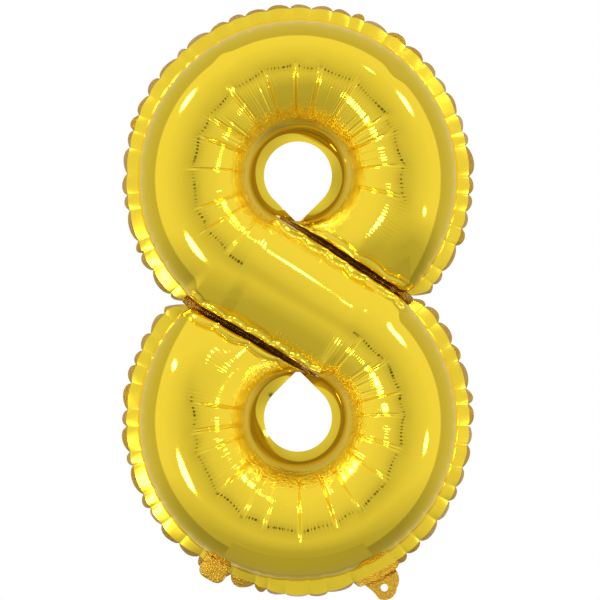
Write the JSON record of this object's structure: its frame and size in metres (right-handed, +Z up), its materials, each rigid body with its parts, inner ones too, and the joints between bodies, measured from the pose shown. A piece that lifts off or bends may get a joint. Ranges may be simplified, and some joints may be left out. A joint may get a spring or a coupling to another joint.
{
  "type": "foil number balloon",
  "caption": "Inflated foil balloon in the shape of the figure eight, with a sealed outer margin, open eyes, a punched tie tab and a valved inflation neck.",
  "frame": {"origin": "middle of the figure, on the back of its diagonal, where it touches the wall that it is stuck to", "axes": "+Z up the figure, +X to the right seen from its front, which faces -Y"},
  "size_m": [0.2072, 0.062, 0.35],
  "materials": {
    "gold_film": "polished",
    "sealant": "satin",
    "valve_film": "gloss"
  },
  "bodies": {
    "envelope": {"front_film": "gold_film", "back_film": "gold_film", "perimeter_seal": "sealant", "upper_inner_seal": "sealant", "lower_inner_seal": "sealant"},
    "tab": {"tie_tab": "gold_film"},
    "neck": {"neck_front_ply": "gold_film", "neck_back_ply": "gold_film", "valve_sleeve": "valve_film"},
    "front_lip": {"valve_front_lip": "valve_film"},
    "back_lip": {"valve_back_lip": "valve_film"}
  },
  "joints": [
    {"name": "tab_fold", "type": "hinge", "parent": "envelope", "child": "tab", "pos_m": [0.04821, -0.031, -0.1634], "axis": [0.887, 0, 0.4617], "range_deg": [-80, 80]},
    {"name": "neck_fold", "type": "hinge", "parent": "envelope", "child": "neck", "pos_m": [-0.04747, -0.031, -0.1547], "axis": [0.8704, 0, -0.4924], "range_deg": [-60, 60]},
    {"name": "valve_open", "type": "hinge", "parent": "envelope", "child": "front_lip", "pos_m": [-0.0456, -0.03135, -0.1514], "axis": [0.8704, 0, -0.4924], "range_deg": [0, 8], "stiffness_Nm_per_rad": 0.00005},
    {"name": "valve_back_open", "type": "hinge", "parent": "envelope", "child": "back_lip", "pos_m": [-0.0456, -0.03065, -0.1514], "axis": [0.8704, 0, -0.4924], "range_deg": [-8, 0]}
  ],
  "couplings": [
    {"joint": "valve_back_open", "follows": "valve_open", "ratio": -1}
  ]
}
